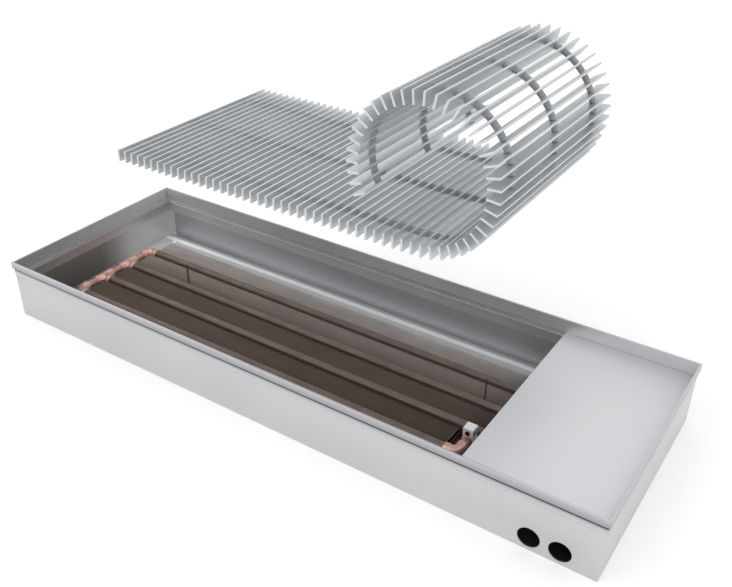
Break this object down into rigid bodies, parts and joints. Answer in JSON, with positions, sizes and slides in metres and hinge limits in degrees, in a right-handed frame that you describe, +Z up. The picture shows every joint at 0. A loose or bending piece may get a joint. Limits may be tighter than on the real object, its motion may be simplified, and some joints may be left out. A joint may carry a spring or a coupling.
{
  "type": "trench convector heater",
  "caption": "Trench convector heater: long sheet metal tray with a finned copper exchanger, a cover plate and a roll-up slatted grille lifted and half rolled.",
  "frame": {"origin": "centre of the tray's underside, on the floor that it stands on", "axes": "+X along the tray to its pipe end, +Y from the wall with the pipe holes to the back wall, +Z up"},
  "size_m": [1, 0.4455, 0.4856],
  "materials": {
    "galvanised_sheet": "zinc-coated sheet, satin",
    "cover_sheet": "plain light sheet",
    "rim_aluminium": "satin anodised",
    "grille_aluminium": "satin anodised",
    "spacer_plastic": "grey moulded",
    "spring_steel": "drawn wire",
    "strip_rubber": "grey damping strip",
    "fin_aluminium": "thin dark fins",
    "bracket_steel": "darkened sheet",
    "copper": "soldered copper",
    "tube_copper": "darkened copper",
    "valve_brass": "turned brass",
    "vent_plastic": "white",
    "vent_screw_black": "black",
    "supply_red": "red hand wheel",
    "return_blue": "blue hand wheel"
  },
  "bodies": {
    "tray": {"tray_floor": "galvanised_sheet", "front_wall": "galvanised_sheet", "back_wall": "galvanised_sheet", "left_end_wall": "galvanised_sheet", "right_end_wall": "galvanised_sheet", "rim_front": "rim_aluminium", "rim_back": "rim_aluminium", "rim_left": "rim_aluminium", "rim_right": "rim_aluminium", "seat_strips": "strip_rubber", "cover_plate": "cover_sheet", "fin_pack": "fin_aluminium", "heating_tubes": "tube_copper", "header_elbows": "copper", "header_tees": "copper", "connecting_pipes": "copper", "exchanger_brackets": "bracket_steel", "air_vent": "vent_plastic", "valve_bodies": "valve_brass"},
    "vent_screw": {"vent_screw": "vent_screw_black"},
    "supply_valve": {"supply_knob": "supply_red"},
    "return_valve": {"return_knob": "return_blue"},
    "grille": {"grille_flat_slats": "grille_aluminium", "grille_flat_spacers": "spacer_plastic", "grille_springs": "spring_steel"},
    "slat_41": {"grille_slat_41": "grille_aluminium"},
    "slat_42": {"grille_slat_42": "grille_aluminium"},
    "slat_43": {"grille_slat_43": "grille_aluminium"},
    "slat_44": {"grille_slat_44": "grille_aluminium"},
    "slat_45": {"grille_slat_45": "grille_aluminium"},
    "slat_46": {"grille_slat_46": "grille_aluminium"},
    "slat_47": {"grille_slat_47": "grille_aluminium"},
    "slat_48": {"grille_slat_48": "grille_aluminium"},
    "slat_49": {"grille_slat_49": "grille_aluminium"},
    "slat_50": {"grille_slat_50": "grille_aluminium"},
    "slat_51": {"grille_slat_51": "grille_aluminium"},
    "slat_52": {"grille_slat_52": "grille_aluminium"},
    "slat_53": {"grille_slat_53": "grille_aluminium"},
    "slat_54": {"grille_slat_54": "grille_aluminium"},
    "slat_55": {"grille_slat_55": "grille_aluminium"},
    "slat_56": {"grille_slat_56": "grille_aluminium"},
    "slat_57": {"grille_slat_57": "grille_aluminium"},
    "slat_58": {"grille_slat_58": "grille_aluminium"},
    "slat_59": {"grille_slat_59": "grille_aluminium"},
    "slat_60": {"grille_slat_60": "grille_aluminium"},
    "slat_61": {"grille_slat_61": "grille_aluminium"},
    "slat_62": {"grille_slat_62": "grille_aluminium"},
    "slat_63": {"grille_slat_63": "grille_aluminium"},
    "slat_64": {"grille_slat_64": "grille_aluminium"},
    "slat_65": {"grille_slat_65": "grille_aluminium"},
    "slat_66": {"grille_slat_66": "grille_aluminium"},
    "slat_67": {"grille_slat_67": "grille_aluminium"},
    "slat_68": {"grille_slat_68": "grille_aluminium"},
    "slat_69": {"grille_slat_69": "grille_aluminium"},
    "slat_70": {"grille_slat_70": "grille_aluminium"},
    "slat_71": {"grille_slat_71": "grille_aluminium"},
    "slat_72": {"grille_slat_72": "grille_aluminium"},
    "slat_73": {"grille_slat_73": "grille_aluminium"},
    "slat_74": {"grille_slat_74": "grille_aluminium"},
    "slat_75": {"grille_slat_75": "grille_aluminium"}
  },
  "joints": [
    {"name": "grille_lift", "type": "slide", "parent": "tray", "child": "grille", "axis": [-0.5906, -0.3623, -0.721], "range_m": [0, 0.27599]},
    {"name": "roll_41", "type": "hinge", "parent": "grille", "child": "slat_41", "pos_m": [0.1911, 0.1, 0.2908], "axis": [0, 1, 0], "range_deg": [0, 8.4]},
    {"name": "roll_42", "type": "hinge", "parent": "slat_41", "child": "slat_42", "pos_m": [0.20426, 0.1, 0.29274], "axis": [0, 1, 0], "range_deg": [0, 8.4]},
    {"name": "roll_43", "type": "hinge", "parent": "slat_42", "child": "slat_43", "pos_m": [0.21699, 0.1, 0.29659], "axis": [0, 1, 0], "range_deg": [0, 8.4]},
    {"name": "roll_44", "type": "hinge", "parent": "slat_43", "child": "slat_44", "pos_m": [0.22902, 0.1, 0.30225], "axis": [0, 1, 0], "range_deg": [0, 8.4]},
    {"name": "roll_45", "type": "hinge", "parent": "slat_44", "child": "slat_45", "pos_m": [0.2401, 0.1, 0.30961], "axis": [0, 1, 0], "range_deg": [0, 8.4]},
    {"name": "roll_46", "type": "hinge", "parent": "slat_45", "child": "slat_46", "pos_m": [0.24999, 0.1, 0.31851], "axis": [0, 1, 0], "range_deg": [0, 8.4]},
    {"name": "roll_47", "type": "hinge", "parent": "slat_46", "child": "slat_47", "pos_m": [0.25846, 0.1, 0.32876], "axis": [0, 1, 0], "range_deg": [0, 8.4]},
    {"name": "roll_48", "type": "hinge", "parent": "slat_47", "child": "slat_48", "pos_m": [0.26535, 0.1, 0.34013], "axis": [0, 1, 0], "range_deg": [0, 8.4]},
    {"name": "roll_49", "type": "hinge", "parent": "slat_48", "child": "slat_49", "pos_m": [0.27051, 0.1, 0.35239], "axis": [0, 1, 0], "range_deg": [0, 8.4]},
    {"name": "roll_50", "type": "hinge", "parent": "slat_49", "child": "slat_50", "pos_m": [0.27381, 0.1, 0.36528], "axis": [0, 1, 0], "range_deg": [0, 8.4]},
    {"name": "roll_51", "type": "hinge", "parent": "slat_50", "child": "slat_51", "pos_m": [0.2752, 0.1, 0.3785], "axis": [0, 1, 0], "range_deg": [0, 8.4]},
    {"name": "roll_52", "type": "hinge", "parent": "slat_51", "child": "slat_52", "pos_m": [0.27465, 0.1, 0.39179], "axis": [0, 1, 0], "range_deg": [0, 8.4]},
    {"name": "roll_53", "type": "hinge", "parent": "slat_52", "child": "slat_53", "pos_m": [0.27216, 0.1, 0.40486], "axis": [0, 1, 0], "range_deg": [0, 8.4]},
    {"name": "roll_54", "type": "hinge", "parent": "slat_53", "child": "slat_54", "pos_m": [0.26778, 0.1, 0.41742], "axis": [0, 1, 0], "range_deg": [0, 8.4]},
    {"name": "roll_55", "type": "hinge", "parent": "slat_54", "child": "slat_55", "pos_m": [0.26162, 0.1, 0.4292], "axis": [0, 1, 0], "range_deg": [0, 8.4]},
    {"name": "roll_56", "type": "hinge", "parent": "slat_55", "child": "slat_56", "pos_m": [0.2538, 0.1, 0.43996], "axis": [0, 1, 0], "range_deg": [0, 8.4]},
    {"name": "roll_57", "type": "hinge", "parent": "slat_56", "child": "slat_57", "pos_m": [0.2445, 0.1, 0.44947], "axis": [0, 1, 0], "range_deg": [0, 8.4]},
    {"name": "roll_58", "type": "hinge", "parent": "slat_57", "child": "slat_58", "pos_m": [0.2339, 0.1, 0.45751], "axis": [0, 1, 0], "range_deg": [0, 8.4]},
    {"name": "roll_59", "type": "hinge", "parent": "slat_58", "child": "slat_59", "pos_m": [0.22225, 0.1, 0.46391], "axis": [0, 1, 0], "range_deg": [0, 8.4]},
    {"name": "roll_60", "type": "hinge", "parent": "slat_59", "child": "slat_60", "pos_m": [0.20978, 0.1, 0.46855], "axis": [0, 1, 0], "range_deg": [0, 8.4]},
    {"name": "roll_61", "type": "hinge", "parent": "slat_60", "child": "slat_61", "pos_m": [0.19677, 0.1, 0.47131], "axis": [0, 1, 0], "range_deg": [0, 8.4]},
    {"name": "roll_62", "type": "hinge", "parent": "slat_61", "child": "slat_62", "pos_m": [0.1835, 0.1, 0.47215], "axis": [0, 1, 0], "range_deg": [0, 8.4]},
    {"name": "roll_63", "type": "hinge", "parent": "slat_62", "child": "slat_63", "pos_m": [0.17025, 0.1, 0.47104], "axis": [0, 1, 0], "range_deg": [0, 8.4]},
    {"name": "roll_64", "type": "hinge", "parent": "slat_63", "child": "slat_64", "pos_m": [0.1573, 0.1, 0.468], "axis": [0, 1, 0], "range_deg": [0, 8.4]},
    {"name": "roll_65", "type": "hinge", "parent": "slat_64", "child": "slat_65", "pos_m": [0.14493, 0.1, 0.4631], "axis": [0, 1, 0], "range_deg": [0, 8.4]},
    {"name": "roll_66", "type": "hinge", "parent": "slat_65", "child": "slat_66", "pos_m": [0.13341, 0.1, 0.45645], "axis": [0, 1, 0], "range_deg": [0, 8.4]},
    {"name": "roll_67", "type": "hinge", "parent": "slat_66", "child": "slat_67", "pos_m": [0.12299, 0.1, 0.44819], "axis": [0, 1, 0], "range_deg": [0, 8.4]},
    {"name": "roll_68", "type": "hinge", "parent": "slat_67", "child": "slat_68", "pos_m": [0.11389, 0.1, 0.4385], "axis": [0, 1, 0], "range_deg": [0, 8.4]},
    {"name": "roll_69", "type": "hinge", "parent": "slat_68", "child": "slat_69", "pos_m": [0.1063, 0.1, 0.42758], "axis": [0, 1, 0], "range_deg": [0, 8.4]},
    {"name": "roll_70", "type": "hinge", "parent": "slat_69", "child": "slat_70", "pos_m": [0.10038, 0.1, 0.41566], "axis": [0, 1, 0], "range_deg": [0, 8.4]},
    {"name": "roll_71", "type": "hinge", "parent": "slat_70", "child": "slat_71", "pos_m": [0.09627, 0.1, 0.40302], "axis": [0, 1, 0], "range_deg": [0, 8.4]},
    {"name": "roll_72", "type": "hinge", "parent": "slat_71", "child": "slat_72", "pos_m": [0.09405, 0.1, 0.3899], "axis": [0, 1, 0], "range_deg": [0, 8.4]},
    {"name": "roll_73", "type": "hinge", "parent": "slat_72", "child": "slat_73", "pos_m": [0.09377, 0.1, 0.3766], "axis": [0, 1, 0], "range_deg": [0, 8.4]},
    {"name": "roll_74", "type": "hinge", "parent": "slat_73", "child": "slat_74", "pos_m": [0.09544, 0.1, 0.36341], "axis": [0, 1, 0], "range_deg": [0, 8.4]},
    {"name": "roll_75", "type": "hinge", "parent": "slat_74", "child": "slat_75", "pos_m": [0.09902, 0.1, 0.3506], "axis": [0, 1, 0], "range_deg": [0, 8.4]},
    {"name": "vent_turn", "type": "hinge", "parent": "tray", "child": "vent_screw", "pos_m": [0.271, -0.0625, 0.0331], "axis": [0, -1, 0], "range_deg": [0, 360]},
    {"name": "supply_turn", "type": "hinge", "parent": "tray", "child": "supply_valve", "pos_m": [0.4495, -0.1175, 0.05], "axis": [0, 0, 1], "range_deg": [0, 360]},
    {"name": "return_turn", "type": "hinge", "parent": "tray", "child": "return_valve", "pos_m": [0.41, -0.1175, 0.05], "axis": [0, 0, 1], "range_deg": [0, 360]}
  ],
  "couplings": [
    {"joint": "roll_42", "follows": "roll_41", "ratio": 1},
    {"joint": "roll_43", "follows": "roll_41", "ratio": 1},
    {"joint": "roll_44", "follows": "roll_41", "ratio": 1},
    {"joint": "roll_45", "follows": "roll_41", "ratio": 1},
    {"joint": "roll_46", "follows": "roll_41", "ratio": 1},
    {"joint": "roll_47", "follows": "roll_41", "ratio": 1},
    {"joint": "roll_48", "follows": "roll_41", "ratio": 1},
    {"joint": "roll_49", "follows": "roll_41", "ratio": 1},
    {"joint": "roll_50", "follows": "roll_41", "ratio": 1},
    {"joint": "roll_51", "follows": "roll_41", "ratio": 1},
    {"joint": "roll_52", "follows": "roll_41", "ratio": 1},
    {"joint": "roll_53", "follows": "roll_41", "ratio": 1},
    {"joint": "roll_54", "follows": "roll_41", "ratio": 1},
    {"joint": "roll_55", "follows": "roll_41", "ratio": 1},
    {"joint": "roll_56", "follows": "roll_41", "ratio": 1},
    {"joint": "roll_57", "follows": "roll_41", "ratio": 1},
    {"joint": "roll_58", "follows": "roll_41", "ratio": 1},
    {"joint": "roll_59", "follows": "roll_41", "ratio": 1},
    {"joint": "roll_60", "follows": "roll_41", "ratio": 1},
    {"joint": "roll_61", "follows": "roll_41", "ratio": 1},
    {"joint": "roll_62", "follows": "roll_41", "ratio": 1},
    {"joint": "roll_63", "follows": "roll_41", "ratio": 1},
    {"joint": "roll_64", "follows": "roll_41", "ratio": 1},
    {"joint": "roll_65", "follows": "roll_41", "ratio": 1},
    {"joint": "roll_66", "follows": "roll_41", "ratio": 1},
    {"joint": "roll_67", "follows": "roll_41", "ratio": 1},
    {"joint": "roll_68", "follows": "roll_41", "ratio": 1},
    {"joint": "roll_69", "follows": "roll_41", "ratio": 1},
    {"joint": "roll_70", "follows": "roll_41", "ratio": 1},
    {"joint": "roll_71", "follows": "roll_41", "ratio": 1},
    {"joint": "roll_72", "follows": "roll_41", "ratio": 1},
    {"joint": "roll_73", "follows": "roll_41", "ratio": 1},
    {"joint": "roll_74", "follows": "roll_41", "ratio": 1},
    {"joint": "roll_75", "follows": "roll_41", "ratio": 1}
  ]
}
